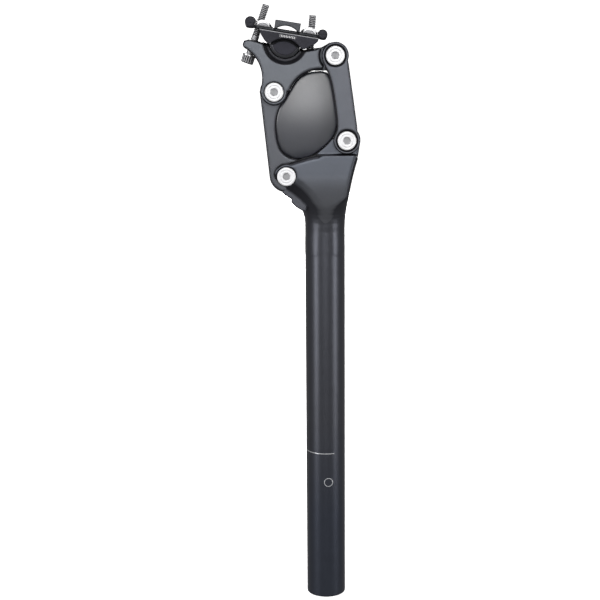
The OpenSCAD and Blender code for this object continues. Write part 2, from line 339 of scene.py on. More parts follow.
# front flank and rear heel are arcs; the tube's own radius is met at TUBE_TOP
FLANK, TUBE_TOP = 178.7, 258.0
HEEL, HEEL_Z = 28.0, 264.6
# radii of the bosses at the lower rear and lower front pivots, and of the eye inside the fork
BOSS, TONGUE_BOSS, FORK_EYE = 8.6, 9.3, 12.2
LEDGE = 314.0
# heights between which the forging widens from the tube to the fork
WIDEN_FROM, WIDEN_TO = 250.0, 300.0
# side view of the fork
POST_OUTLINE = [(-TUBE, 245), (-36, 262), (-36, 288), (D[0] - 5.5, D[1] - 5.5),
                (D[0] - 5, D[1] + 5), (D[0] - 1, D[1] + 8), (-20, 310.2), (-13, 312.3),
                (-8, 313.5), (-4.9, LEDGE), (0, 317.5), (6, 330), (45, 330), (45, 245)]
# half section, turned about the tube's axis, that keeps the neck round
FLARE = ([(0, 240), (TUBE, 240), (TUBE, 262)]
         + arc((TUBE + 0.4 + HEEL, HEEL_Z), HEEL, 180, 135, 8)
         + [(60, 322), (60, 345), (0, 345)])
# part between the front link's plates, and the slot between the fork's plates
TONGUE = [(C[0] - 10.4, C[1] + 1.4), (-8.5, 313), (-6, 305), (20, 305), (22.3, LEDGE),
          (C[0] + TONGUE_BOSS, C[1])]
SLOT_OUTLINE = [(D[0] + FORK_EYE, D[1]), (D[0] + FORK_EYE, 325), (-60, 325), (-60, 291),
                (D[0] - 6.5, D[1] - 9.6)]
# lip that closes the fork at the heel
LIP = [(-29.6, 289), (-22.6, 284.3), (-23, 282.6), (-20.2, 279.4), (-16.2, 276.8), (-13, 276),
       (-11, 287), (-20, 297)]
# the heel's bevel: how far it reaches into the side face, and in from the width
BEVEL_IN, BEVEL_DEEP = 11.0, 6.5


def pivot_recess(x, y, z, p, mouth):
    """The through bore of a fork end and its bolt-head recesses, the mouth opened out."""
    recess = np.maximum(disc(x, z, p, HEAD_R + PLAY), SEAT - np.abs(y))
    cone = (disc(x, z, p, HEAD_R + PLAY + mouth) + FORK - np.abs(y)) * math.sqrt(0.5)
    cone = np.maximum(cone, SEAT - np.abs(y))
    return np.minimum(np.minimum(disc(x, z, p, AXLE_R), recess), cone)


def post_shape(x, y, z):
    radius = np.hypot(x, y)
    tube = np.maximum(both(radius - TUBE, -z, 0.7), z - TUBE_END)
    share = np.clip((z - WIDEN_FROM) / (WIDEN_TO - WIDEN_FROM), 0, 1)
    side = np.abs(y) - (TUBE + (FORK - TUBE) * share * share * (3 - 2 * share))
    yoke = both(polygon(x, z, POST_OUTLINE), side, 3.2)
    yoke = np.minimum(yoke, both(disc(x, z, D, BOSS), side, 1.8))
    yoke = both(yoke, z - LEDGE, 0.4)
    yoke = both(yoke, -disc(x, z, (TUBE + FLANK, TUBE_TOP), FLANK), 3.6)
    heel = -disc(x, z, (-TUBE - HEEL, HEEL_Z), HEEL)
    bevel = heel * BEVEL_DEEP + side * BEVEL_IN + BEVEL_IN * BEVEL_DEEP
    bevel = bevel / math.hypot(BEVEL_IN, BEVEL_DEEP)
    yoke = soft_max(yoke, soft_max(heel, bevel, 6), 2.0)
    yoke = soft_max(yoke, polygon(radius, z, FLARE), 1.5)
    body = join(tube, yoke, 0.5)
    tongue = np.minimum(disc(x, z, C, TONGUE_BOSS), polygon(x, z, TONGUE))
    body = join(body, both(tongue, np.abs(y) - NARROW, 1.2), 0.8)
    body = join(body, both(polygon(x, z, LIP), np.abs(y) - SLOT - 0.5, 0.6), 0.5)
    slot = np.minimum(np.minimum(disc(x, z, D, FORK_EYE), polygon(x, z, SLOT_OUTLINE)),
                      egg(x, z) - GAP)
    body = cut(body, np.maximum(slot, np.abs(y) - SLOT), 0.6)
    body = cut(body, np.maximum(radius - BORE, z - BORE_TOP), 0.5)
    body = np.maximum(body, -pivot_recess(x, y, z, D, 0.5))
    return cut(body, disc(x, z, C, SLEEVE_R), 0.4)


# ---------- links ----------

# radii of the rear link's lower and upper ends; its flat front: how far in front of the
# lower pivot, and from what height along the link
LOW_END, HIGH_END = 11.4, 9.6
FLAT_FRONT, FLAT_FROM = 9.3, 12.0
# front link: radius of the bosses, and of the room its web leaves around the pivots
LINK_BOSS, WEB_ROOM = 8.9, 10.6
# outline of the front link between its bosses: (in front of, along) the pivots' line
ARM = [(7.85, 0), (7.85, 56), (-8.4, 56), (-8.2, 52), (-7.3, 48.5), (-6.2, 45.9), (-5.3, 42),
       (-4.75, 37), (-4.5, 31), (-4.5, 20), (-4.6, 14), (-5.1, 9.5), (-6.2, 6.5), (-8.2, 3),
       (-8.6, 0)]


def along_link(x, z, p):
    """Distance in front of and along a link that starts at p."""
    dx, dz = x - p[0], z - p[1]
    return dx * LINK_N[0] + dz * LINK_N[1], dx * LINK[0] + dz * LINK[1]


def rear_link_shape(x, y, z):
    link = capsule(x, z, D, A, LOW_END, HIGH_END)
    link = both(link, -GAP - egg(x, z), 0.35)
    w, s = along_link(x, z, D)
    link = soft_max(link, np.minimum(w - FLAT_FRONT, FLAT_FROM - s), 1.0)
    body = both(link, np.abs(y) - NARROW, 1.6)
    return cut(body, np.minimum(disc(x, z, D, SLEEVE_R), disc(x, z, A, SLEEVE_R)), 0.3)


def front_link_shape(x, y, z):
    w, s = along_link(x, z, C)
    bar = polygon(w, s, ARM)
    outline = np.minimum(np.minimum(disc(x, z, B, LINK_BOSS), disc(x, z, C, LINK_BOSS)), bar)
    arm = both(outline, np.abs(y) - FORK, 1.3)
    arm = both(arm, SLOT - np.abs(y), 0.6)
    web = np.maximum(bar, np.maximum(-disc(x, z, B, WEB_ROOM), -disc(x, z, C, WEB_ROOM)))
    web = both(web, GAP - egg(x, z), 0.5)
    web = np.maximum(web, np.abs(y) - SLOT - 1)
    body = join(arm, web, 1.0)
    body = np.maximum(body, -pivot_recess(x, y, z, B, 1.2))
    return np.maximum(body, -pivot_recess(x, y, z, C, 1.2))


# ---------- head ----------

HEAD_OUTLINE = [(-42.2, 354), (-46, 360), (-46, 377.9), (-53, 383.5), (-53.6, 386.8), (-52.6, 389),
                (-50.4, 389.7), (-46.5, 389.2), (-40, 387.4), (-36, 386.7), (-30, 387.5),
                (-20, 386), (-13.6, 382.3), (-3, 383.9), (B[0], B[1] + 4), (B[0], 366),
                (-22, 357), (-24.4, 352), (A[0] + 8.6, A[1])]
HEAD_TONGUE = [(-12, 382.5), (-3, 383.9), (3.5, 387.2), (2.6, 370.6), (-1, 369.4), (-12, 369)]
# lip of the tongue just above the elastomer
HEAD_LIP = [(-8, 371.5), (4, 372), (2.4, 369.2), (-6.5, 369.2)]
# circles that hollow the head's underside and its rear edge
UNDER, UNDER_R = (-3.0, 348.6), 21.3
REAR_SCOOP, SCOOP_R = (-63.5, 364.9), 22.3
# radii of the head's bosses, and of the eyes for the link ends at both pivots
HEAD_BOSS, HEAD_EYE = 8.8, 10.4
# how far behind the upper front pivot the wide part of the head ends
WIDE_END = 8.0
# levels down to which the head leaves room for the cradle's feet and for its middle
FOOT, CREST, CREST_HALF = -3.9, -1.3, 10.5
# radii around the clamp's pivot, depth of the flat recess and reach of its sloping mouth
ROCKER_R, SEAT_R, RECESS_R = 10.3, 14.2, 12.6
RECESS_DEEP, MOUTH = 2.5, 2.2
# bolt slots in the head: level of the cap's seat, its room's radius, and the swing left free
HEAD_SLOTS = {"rear": (-21, 5.6, 1.6), "front": (-16.6, 5.1, 1.2)}


def tilted(x, z):
    """Coordinates in the saddle clamp's own frame, its origin at the rocker's centre."""
    dx, dz = x - P[0], z - P[1]
    return dx * math.cos(TILT) - dz * math.sin(TILT), dx * math.sin(TILT) + dz * math.cos(TILT)


def from_clamp(u, w):
    """The opposite of tilted, for one point."""
    return np.array([P[0] + u * math.cos(TILT) + w * math.sin(TILT),
                     P[1] - u * math.sin(TILT) + w * math.cos(TILT)])


# clamp bolts: nut centre in the clamp's frame, lean in degrees, underside of the head and
# threaded end along the bolt
BOLTS = {"rear": ((-18.5, 9.0), 19.5, -22.4, 12.9), "front": ((16.0, 9.0), 5.0, -18.0, 10.7)}
BOLT_R, HOLE_R = 2.5, 2.9


def bolt_slot(name, x, y, z, s0, s1, r, swing):
    """Slot of radius r along a clamp bolt from s0 to s1, swing wider each way."""
    nut, lean = BOLTS[name][:2]
    n = from_clamp(*nut)
    a = math.radians(lean)
    dx, dz = x - n[0], z - n[1]
    u, s = dx * math.cos(a) - dz * math.sin(a), dx * math.sin(a) + dz * math.cos(a)
    u = np.maximum(np.abs(u) - swing, 0)
    return np.maximum(np.hypot(u, y) - r, np.maximum(s0 - s, s - s1))


def head_shape(x, y, z):
    wide = np.minimum(disc(x, z, A, HEAD_BOSS), polygon(x, z, HEAD_OUTLINE))
    wide = both(wide, -disc(x, z, REAR_SCOOP, SCOOP_R), 0.8)
    wide = both(wide, -disc(x, z, B, HEAD_EYE), 0.3)
    wide = np.maximum(wide, x - B[0] + WIDE_END)
    scoop = -disc(x, z, UNDER, UNDER_R)
    block = both(wide, np.abs(y) - FORK, 1.6)
    block = both(block, scoop, 2.3)
    tongue = np.minimum(disc(x, z, B, HEAD_BOSS), polygon(x, z, HEAD_TONGUE))
    tongue = both(both(tongue, np.abs(y) - NARROW, 1.0), scoop, 1.0)
    body = join(block, tongue, 0.6)
    body = join(body, both(polygon(x, z, HEAD_LIP), np.abs(y) - NARROW, 0.5), 0.4)
    body = np.maximum(body, -disc(x, z, P, ROCKER_R + PLAY))
    level = tilted(x, z)[1]
    feet = np.maximum(FOOT - level, CREST_HALF - np.abs(y))
    room = np.maximum(disc(x, z, P, SEAT_R), np.minimum(feet, CREST - level))
    body = cut(body, room, 0.4)
    inward = np.abs(y) - FORK + MOUTH
    mouth = np.maximum((disc(x, z, P, RECESS_R) - inward) * math.sqrt(0.5), -inward)
    recess = np.maximum(disc(x, z, P, RECESS_R), FORK - RECESS_DEEP - np.abs(y))
    body = cut(body, np.minimum(recess, mouth), 0.3)
    slot = np.minimum(disc(x, z, A, HEAD_EYE), np.maximum(z - A[1], x))
    body = cut(body, np.maximum(slot, np.abs(y) - SLOT), 0.6)
    body = np.maximum(body, -pivot_recess(x, y, z, A, 0.35))
    body = cut(body, disc(x, z, B, SLEEVE_R), 0.4)
    for name, (seat, head, swing) in HEAD_SLOTS.items():
        body = np.maximum(body, -bolt_slot(name, x, y, z, seat - 1, 4, HOLE_R, swing))
        body = np.maximum(body, -bolt_slot(name, x, y, z, -40, seat, head, swing))
    return body


# ---------- saddle clamp ----------

# all in the clamp's own frame
RAIL_Z, RAIL_Y, RAIL_R = 6.9, 22.0, 3.5
# arch that rests on the rocker: radius and centre
ARCH, ARCH_X, ARCH_Z = 13.0, 0.6, -10.8
# level of the cradle's top between the rails, and of its underside beside the crest
CRADLE_TOP, CRADLE_UNDER = 5.2, 0.2
CRADLE = [(-17.7, 5.7), (21, 5.7), (21, 3.8), (19.1, 1.5), (12.9, -2.7), (-10.7, -2.7),
          (-13.4, -0.9), (-16.2, 2.4)]
PLATE_HALF, PLATE_TOP = 17.5, 7.7
PLATE = [(-26, 5.75), (25, 5.75), (25, PLATE_TOP), (-26, PLATE_TOP)]
BLOCK = [(-8.3, 7.2), (8.3, 7.2), (8.3, 12.9), (9.5, 13.2), (-10.4, 13.2), (-8.3, 12.9)]
# hollow under the block: radius and centre
HOLLOW, HOLLOW_X, HOLLOW_Z = 11.0, -0.2, -0.8
# swellings at the ends of the top plate: two centres, two radii
LOBES = [((-24.4, 9.2), (-24.9, 8.2), 3.6, 2.6), ((23.3, 8.6), (23.8, 8), 3.2, 2.6)]
# cross nuts: places along the clamp, centre height, radius, half length
NUTS = {"rear": -15.6, "front": 14.6}
NUT_Z, NUT_R, NUT_HALF = 5.3, 6.4, 26.0


def rails(y, w):
    """Distance to the two saddle rails."""
    return np.hypot(np.abs(y) - RAIL_Y, w - RAIL_Z) - RAIL_R


def without_bolts(body, x, y, z, r):
    """The body with holes of radius r for both clamp bolts."""
    for name in BOLTS:
        body = cut(body, bolt_slot(name, x, y, z, -30, 30, r, 0), 0.2)
    return body


def cradle_shape(x, y, z):
    u, w = tilted(x, z)
    outline = both(polygon(u, w, CRADLE), ARCH - np.hypot(u - ARCH_X, w - ARCH_Z), 0.5)
    body = both(outline, np.abs(y) - CLAMP, 0.4)
    body = both(body, -rails(y, w), 0.3)
    body = cut(body, np.maximum(CRADLE_TOP - w, np.abs(y) - PLATE_HALF), 0.3)
    body = cut(body, np.maximum(w - CRADLE_UNDER, np.abs(y) - CREST_HALF - 0.5), 0.3)
    return without_bolts(body, x, y, z, HOLE_R)


def rocker_shape(x, y, z):
    u, w = tilted(x, z)
    lens = both(np.hypot(u, w) - ROCKER_R, np.hypot(u - ARCH_X, w - ARCH_Z) - ARCH, 0.5)
    return chamfered(lens, np.abs(y) - FORK - 0.5, 1.8)


def top_shape(x, y, z):
    u, w = tilted(x, z)
    inner = np.abs(y) - PLATE_HALF
    base = both(polygon(u, w, PLATE), inner, 0.3)
    hollow = np.hypot(u - HOLLOW_X, w - HOLLOW_Z) - HOLLOW
    block = both(polygon(u, w, BLOCK), -hollow, 0.3)
    body = join(base, both(block, np.abs(y) - CLAMP, 0.5), 0.5)
    for lobe in LOBES:
        body = join(body, both(capsule(u, w, *lobe), inner, 1.2), 2.2)
    body = both(body, -rails(y, w), 0.3)
    for centre in NUTS.values():
        seat = np.maximum(np.hypot(u - centre, w - NUT_Z) - NUT_R - 0.25, PLATE_TOP - w)
        body = np.maximum(body, -seat)
    return without_bolts(body, x, y, z, HOLE_R)


def nut_shape(centre):
    """Half-round cross nut centred at a place along the clamp."""
    def f(x, y, z):
        u, w = tilted(x, z)
        body = chamfered(np.hypot(u - centre, w - NUT_Z) - NUT_R, np.abs(y) - NUT_HALF, 1.9)
        body = both(body, PLATE_TOP + 0.05 - w, 0.35)
        body = both(body, -rails(y, w), 0.25)
        return without_bolts(body, x, y, z, BOLT_R + 0.08)
    return f


# ---------- elastomer ----------

# radius and middle of the crowned side faces
CROWN, CROWN_C = 135.0, (-14.0, 346.0)


def elastomer_shape(x, y, z):
    away = (x - CROWN_C[0]) ** 2 + (z - CROWN_C[1]) ** 2
    crown = np.sqrt(away + (np.abs(y) + CROWN - SPRING) ** 2)
    return both(egg(x, z), crown - CROWN, 0.6)


# ---------- turned pieces ----------

def lathe(name, profile, along, at, body, turns, shape):
    """A closed turned piece. profile lists (distance along, radius) from end to end, and
    shape gives the radius for a distance along, that radius and an angle."""
    along = Vector(along).normalized()
    side = Vector((0, 1, 0))
    third = along.cross(side)
    verts, faces = [], []
    for s, r in profile:
        for i in range(turns):
            t = 2 * math.pi * i / turns
            verts.append(Vector(at) + along * s
                         + (side * math.cos(t) + third * math.sin(t)) * shape(s, r, t))
    for k in range(len(profile) - 1):
        for i in range(turns):
            j = (i + 1) % turns
            faces.append((k * turns + i, k * turns + j, (k + 1) * turns + j, (k + 1) * turns + i))
    faces.append(tuple(range(turns))[::-1])
    faces.append(tuple((len(profile) - 1) * turns + i for i in range(turns)))
    return mesh_object(name, verts, faces, body, sharp=35)


def hexagon(x, z, half):
    """Distance to a hexagon of half width half across its flats."""
    d = -1e9
    for k in range(3):
        a = math.radians(60 * k + 30)
        d = np.maximum(d, np.abs(x * math.cos(a) + z * math.sin(a)) - half)
    return d


# bolt head: engraved ring, half width and depth of the socket, radius of the dish around it
RING, ENGRAVED = 4.3, 0.18
SOCKET, SOCKET_DEEP, DISH = 2.3, 2.2, 2.9


def pivot_head_shape(x, y, z):
    """Low bolt head with a hex socket, its outer face at y = 0 and pointing to -Y."""
    radius = np.hypot(x, z)
    body = np.maximum(both(radius - HEAD_R, -y, 0.7), y - HEAD_T)
    body = cut(body, np.hypot(radius - RING, y) - ENGRAVED, 0.05)
    body = cut(body, np.maximum(hexagon(x, z, SOCKET), y - SOCKET_DEEP), 0.15)
    dish = np.maximum(radius - DISH, y - ENGRAVED + (radius - SOCKET) * 0.3)
    return np.maximum(body, -dish)


# ---------- materials ----------

class Looks:
    """A material under construction. Values are sockets of its nodes, and places are in
    metres in the object's own coordinates."""

    def __init__(self, name, rough, metal=0.0, specular=0.5, grain=2500, bump=0.15,
                 spread=0.06, stretch=(1, 1, 1), coat=0.0):
        self.m = bpy.data.materials.new(name)
        self.m.use_nodes = True
        self.tree = self.m.node_tree
        self.shader = self.tree.nodes["Principled BSDF"]
        self.shader.inputs["Metallic"].default_value = metal
        self.shader.inputs["Specular IOR Level"].default_value = specular
        self.shader.inputs["Coat Weight"].default_value = coat
        self.shader.inputs["Coat Roughness"].default_value = 0.32
        self.coords = self.tree.nodes.new("ShaderNodeTexCoord")
        fine = self.noise(grain, 4, stretch)
        self.put("Roughness", self.ramp(fine, 0.3, 0.7, rough - spread, rough + spread))
        node = self.tree.nodes.new("ShaderNodeBump")
        node.inputs["Strength"].default_value = bump
        node.inputs["Distance"].default_value = 0.0001
        self.tree.links.new(fine, node.inputs["Height"])
        self.put("Normal", node.outputs["Normal"])

    def put(self, socket, value):
        """Links a value to an input of the shader."""
        self.tree.links.new(value, self.shader.inputs[socket])

    def noise(self, scale, detail, stretch=(1, 1, 1)):
        """Noise from 0 to 1, scale cycles a metre."""
        place = self.tree.nodes.new("ShaderNodeMapping")
        place.inputs["Scale"].default_value = stretch
        self.tree.links.new(self.coords.outputs["Object"], place.inputs["Vector"])
        n = self.tree.nodes.new("ShaderNodeTexNoise")
        n.inputs["Scale"].default_value = scale
        n.inputs["Detail"].default_value = detail
        self.tree.links.new(place.outputs["Vector"], n.inputs["Vector"])
        return n.outputs["Fac"]

    def ramp(self, value, from_low, from_high, low, high):
        """The value taken from one range to another, held at the ends."""
        r = self.tree.nodes.new("ShaderNodeMapRange")
        for socket, number in (("From Min", from_low), ("From Max", from_high),
                               ("To Min", low), ("To Max", high)):
            r.inputs[socket].default_value = number
        self.tree.links.new(value, r.inputs["Value"])
        return r.outputs["Result"]

    def maths(self, operation, *values):
        """A Math node on numbers or sockets."""
        n = self.tree.nodes.new("ShaderNodeMath")
        n.operation = operation
        for socket, value in zip(n.inputs, values):
            if isinstance(value, (int, float)):
                socket.default_value = value
            else:
                self.tree.links.new(value, socket)
        return n.outputs[0]

    def mix(self, factor, a, b):
        """Mix of two colours, each a colour or a socket."""
        n = self.tree.nodes.new("ShaderNodeMix")
        n.data_type = "RGBA"
        self.tree.links.new(factor, n.inputs["Factor"])
        for socket, value in (("A", a), ("B", b)):
            if isinstance(value, tuple):
                n.inputs[socket].default_value = value + (1,)
            else:
                self.tree.links.new(value, n.inputs[socket])
        return n.outputs["Result"]

    def varied(self, colour, vary, scale=90):
        """A colour that drifts by the share vary each way."""
        low, high = (tuple(min(1, c * k) for c in colour) for k in (1 - vary, 1 + vary))
        return self.mix(self.noise(scale, 5), low, high)

    def painted_edge_with_scuffs(self, edge, worn):
        """An edge colour painted as shade (on the rocker, as a highlight) with small scuffs in the
        worn colour, lighter on the forgings.
        """
        dark = self.varied(edge, 0.25, 300)
        return self.mix(self.ramp(self.noise(700, 6), 0.66, 0.74, 0, 0.3), dark, worn)

    def axes(self, output):
        """X, Y and Z of a coordinate output."""
        n = self.tree.nodes.new("ShaderNodeSeparateXYZ")
        self.tree.links.new(self.coords.outputs[output], n.inputs[0])
        return n.outputs

    def from_rocker(self):
        """Distances in X and Z from the clamp's pivot."""
        x, _, z = self.axes("Object")
        return [self.maths("SUBTRACT", value, float(centre * MM))
                for value, centre in ((x, P[0]), (z, P[1]))]

    def length(self, a, b):
        """Length of a plane vector."""
        square = self.maths("ADD", self.maths("MULTIPLY", a, a), self.maths("MULTIPLY", b, b))
        return self.maths("SQRT", square)

    def flanks(self):
        """1 on surfaces that face sideways, 0 on the rounded and other surfaces."""
        return self.ramp(self.maths("ABSOLUTE", self.axes("Normal")[1]), 0.88, 0.95, 0, 1)


def plain(name, colour, rough, metal=0.0, vary=0.12, **more):
    """One finish all over, with its colour and roughness variation and grain."""
    look = Looks(name, rough, metal, **more)
    look.put("Base Color", look.varied(colour, vary))
    return look.m


def light_painted_by_facing(name, face, edge, rough, metal, shaded=None, **more):
    """Anodised forging whose sideways faces are painted greyer, as light, and whose rounded
    edges are painted dark, as shade, with small real scuffs; the rocker instead has dark
    faces and a rim painted lighter, as a highlight. shaded gives a factor that is 1 where
    a flank is dark as well."""
    look = Looks(name, rough, metal, **more)
    dark = look.painted_edge_with_scuffs(edge, tuple(min(1, c * 1.5) for c in face))
    flank = look.flanks()
    if shaded:
        flank = look.maths("MULTIPLY", flank, look.maths("SUBTRACT", 1.0, shaded(look)))
    look.put("Base Color", look.mix(flank, dark, look.varied(face, 0.10)))
    return look.m


def near_rocker(look):
    """1 inside the head's recess around the rocker, where the flank is painted dark, as shade."""
    return look.maths("LESS_THAN", look.length(*look.from_rocker()), (RECESS_R + PLAY) * MM)


def past_nuts(look):
    """1 on the two lobes of the clamp's top plate."""
    x = look.axes("Object")[0]
    rear, front = (float(from_clamp(u, 8)[0] * MM) for u in (-20, 20))
    return look.maths("MAXIMUM", look.maths("LESS_THAN", x, rear),
                      look.maths("GREATER_THAN", x, front))


# heights in metres over which the post's colours change: the tube's lower part to its upper
# part, the tube to the forging, and the neck to the fork
LOWER_BLEND, FORGED_BLEND, NECK_BLEND = (0.060, 0.130), (0.256, 0.305), (0.268, 0.302)
# the heel's lip lies in shadow: half width and top
LIP_HALF, LIP_TOP = 0.0142, 0.300
# printed marks: height, end and half thickness of the line, then middle, radius and half
# thickness of the ring
LINE_Z, LINE_END, LINE_HALF = 0.1063, 0.0056, 0.00028
RING_X, RING_Z, RING_R, RING_HALF = 0.0016, 0.0855, 0.0029, 0.00025


def post_material():
    """Black anodised tube with a printed height line and ring; the forging's sideways faces are
    painted greyer, as light, lighter still towards the neck, and its rounded edges dark, as shade.
    """
    look = Looks("post_anodised", 0.36, 0.85, grain=3000, bump=0.10)
    x, y, z = look.axes("Object")
    tube = look.mix(look.ramp(z, *LOWER_BLEND, 0, 1),
                    look.varied((0.040, 0.045, 0.060), 0.10),
                    look.varied((0.052, 0.054, 0.064), 0.10))
    lip = look.maths("MULTIPLY", look.maths("LESS_THAN", look.maths("ABSOLUTE", y), LIP_HALF),
                     look.maths("LESS_THAN", z, LIP_TOP))
    flank = look.maths("MULTIPLY", look.flanks(), look.ramp(lip, 0, 1, 1, 0.35))
    # painted light: the sideways faces are lighter towards the neck, against the shade where the
    # surface turns down
    face = look.mix(look.ramp(z, *NECK_BLEND, 0, 1),
                    look.varied((0.200, 0.205, 0.220), 0.10),
                    look.varied((0.070, 0.076, 0.090), 0.10))
    forged = look.mix(flank, look.painted_edge_with_scuffs(EDGE_SHADE, (0.2, 0.2, 0.22)), face)
    body = look.mix(look.ramp(z, *FORGED_BLEND, 0, 1), tube, forged)
    line = look.maths("MULTIPLY", look.maths("COMPARE", z, LINE_Z, LINE_HALF),
                      look.maths("LESS_THAN", x, LINE_END))
    away = look.length(look.maths("SUBTRACT", x, RING_X), look.maths("SUBTRACT", z, RING_Z))
    ring = look.maths("COMPARE", away, RING_R, RING_HALF)
    marks = look.maths("MULTIPLY", look.maths("MAXIMUM", line, ring),
                       look.maths("LESS_THAN", y, 0.0))
    marks = look.maths("MULTIPLY", marks, look.ramp(look.noise(1500, 3), 0.3, 0.5, 0.5, 0.9))
    look.put("Base Color", look.mix(marks, body, (0.62, 0.63, 0.65)))
    return look.m


# pale angle marks on the cradle, in metres in the clamp's frame: middle and half reach of the
# row along and across, and the distance from mark to mark
TICK_U, TICK_W, TICK_STEP = (0.0012, 0.0052), (0.0036, 0.0007), 0.00105
# level above which the cradle's top edge is painted lighter, as a highlight
HIGHLIGHT_TOP = 0.0052


def cradle_material():
    """Grained black clamp with a row of pale angle marks above the rocker, and its top edge
    painted lighter as a highlight.
    """
    look = Looks("clamp_grained", 0.5, 0.4, specular=0.25, grain=1400, bump=0.6)
    dx, dz = look.from_rocker()
    cos, sin = math.cos(TILT), math.sin(TILT)
    u = look.maths("SUBTRACT", look.maths("MULTIPLY", dx, cos), look.maths("MULTIPLY", dz, sin))
    w = look.maths("ADD", look.maths("MULTIPLY", dx, sin), look.maths("MULTIPLY", dz, cos))
    phase = look.maths("FRACT", look.maths("DIVIDE", u, TICK_STEP))
    tick = look.maths("LESS_THAN", phase, 0.40)
    for value, (middle, reach) in ((u, TICK_U), (w, TICK_W)):
        tick = look.maths("MULTIPLY", tick, look.maths("COMPARE", value, middle, reach))
    tick = look.maths("MULTIPLY", tick, look.flanks())
    body = look.mix(look.maths("GREATER_THAN", w, HIGHLIGHT_TOP),
                    look.varied((0.016, 0.016, 0.021), 0.35),
                    look.varied((0.20, 0.20, 0.21), 0.2))
    look.put("Base Color", look.mix(tick, body, (0.5, 0.5, 0.5)))
    return look.m


def nut_material():
    """Bright steel nut whose end faces are painted greyer inside a bevel painted dark, as shade.
    """
    look = Looks("nut_steel", 0.34, 0.35, grain=2000, bump=0.08)
    aside = look.maths("ABSOLUTE", look.axes("Normal")[1])
    bright = look.varied((0.80, 0.80, 0.81), 0.05)
    ends = look.mix(look.ramp(aside, 0.93, 0.99, 0, 1), (0.02, 0.02, 0.025),
                    (0.17, 0.17, 0.18))
    look.put("Base Color", look.mix(look.ramp(aside, 0.76, 0.84, 0, 1), bright, ends))
    return look.m


# near black painted on rounded edges, as shade
EDGE_SHADE = (0.018, 0.018, 0.022)
POST_MAT = post_material()
REAR_MAT = light_painted_by_facing("rear_link_anodised", (0.070, 0.073, 0.082), EDGE_SHADE, 0.38, 0.8)
FRONT_MAT = light_painted_by_facing("front_link_anodised", (0.076, 0.080, 0.092), EDGE_SHADE, 0.38, 0.8)
HEAD_MAT = light_painted_by_facing("head_anodised", (0.086, 0.092, 0.104), EDGE_SHADE, 0.40, 0.7, near_rocker)
TOP_MAT = light_painted_by_facing("clamp_top_anodised", (0.048, 0.050, 0.055), EDGE_SHADE, 0.42, 0.7, past_nuts,
                   specular=0.25)
# the rocker's faces are near black and its rim is painted lighter, as a highlight
ROCKER_MAT = light_painted_by_facing("rocker_anodised", (0.020, 0.020, 0.026), (0.075, 0.077, 0.085), 0.42, 0.7,
                      specular=0.25)
CLAMP_MAT = cradle_material()
NUT_MAT = nut_material()
BRIGHT_MAT = plain("bright_steel", (0.56, 0.56, 0.57), 0.34, 0.35, 0.05, grain=2000, bump=0.08)
# darker steel painted into the pivot bolts' sockets and dishes, as shade in the recess
SOCKET_SHADE_MAT = plain("socket_painted_shade", (0.30, 0.30, 0.31), 0.4, 0.3, grain=2000, bump=0.08)
RUBBER_MAT = plain("elastomer_satin", (0.026, 0.028, 0.036), 0.34, 0.0, 0.10, specular=1.0,
                   coat=0.6, grain=900, bump=0.05)
BOLT_MAT = plain("black_oxide", (0.035, 0.035, 0.040), 0.40, 0.7, grain=3000, bump=0.1)
CREST_MAT = plain("worn_oxide", (0.26, 0.26, 0.27), 0.40, 0.6, 0.3, grain=3000, bump=0.1)
WASHER_MAT = plain("zinc_washer", (0.5, 0.5, 0.51), 0.35, 1.0, grain=2500, bump=0.1)
AXLE_MAT = plain("ground_steel", (0.6, 0.6, 0.61), 0.25, 1.0, stretch=(1, 30, 1))
BUSHING_MAT = plain("bushing_polymer", (0.035, 0.032, 0.030), 0.5, grain=2000, bump=0.1)


def brighten_crests(piece, at, along, low, high):
    """Second, lighter material on the faces between two radii around an axis."""
    piece.data.materials.append(CREST_MAT)
    at, along = Vector(at) * MM, Vector(along).normalized()
    for face in piece.data.polygons:
        out = face.center - at
        out -= along * out.dot(along)
        if low * MM < out.length < high * MM:
            face.material_index = 1


def finish_with(piece, mat, slot, *replaced):
    """Gives a piece its material and hides the CAD nodes it stands for. slot is not used."""
    piece.data.materials.clear()
    piece.data.materials.append(mat)
    if replaced:
        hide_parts(*replaced)


def dress(node, mat):
    """Gives a shown CAD node its material."""
    nodes[node].data.materials.clear()
    nodes[node].data.materials.append(mat)


# ---------- pieces ----------

STEP = 0.6
# the plain tube needs few rows between its rounded end and the neck
TUBE_FOOT, NECK = 4.0, 240.0
POST_ROWS = np.concatenate([[-0.9, -0.45], spaced(0, TUBE_FOOT, 0.5)[:-1],
                            spaced(TUBE_FOOT, NECK, 4)[:-1],
                            spaced(NECK, node_box("post")[1][2] + 1, STEP)])

# piece, shape, body, relative mesh step, material, slot, CAD node it stands for
FORMED = [
    ("post_forging", post_shape, "post", 1, POST_MAT, "post_black", "post"),
    ("rear_link_forging", rear_link_shape, "rear_link", 1, REAR_MAT, "link_black", "rear_link"),
    ("front_link_forging", front_link_shape, "front_link", 1, FRONT_MAT, "link_black",
     "front_link"),
    ("head_forging", head_shape, "head", 1, HEAD_MAT, "head_grey", "head"),
    ("cradle_forging", cradle_shape, "clamp", 0.55, CLAMP_MAT, "clamp_black", "clamp_cradle"),
    ("rocker_bar", rocker_shape, "clamp", 0.8, ROCKER_MAT, "clamp_black", "clamp_rocker"),
    ("top_plate", top_shape, "clamp", 0.8, TOP_MAT, "clamp_grey", "clamp_top"),
    ("spring_elastomer", elastomer_shape, "rear_link", 1.5, RUBBER_MAT, "elastomer",
     "elastomer"),
]
FORMED += [("cross_nut_" + name, nut_shape(centre), "clamp", 0.6, NUT_MAT, "bright_steel",
            "barrel_nut_" + name) for name, centre in NUTS.items()]
made = {}
for name, shape, body, fineness, mat, slot, node in FORMED:
    low, high = node_box(node)
    rows = POST_ROWS if node == "post" else None
    made[name] = formed(name, shape, low, high, STEP * fineness, body, rows)
    finish_with(made[name], mat, slot, node)
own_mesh(made["spring_elastomer"])

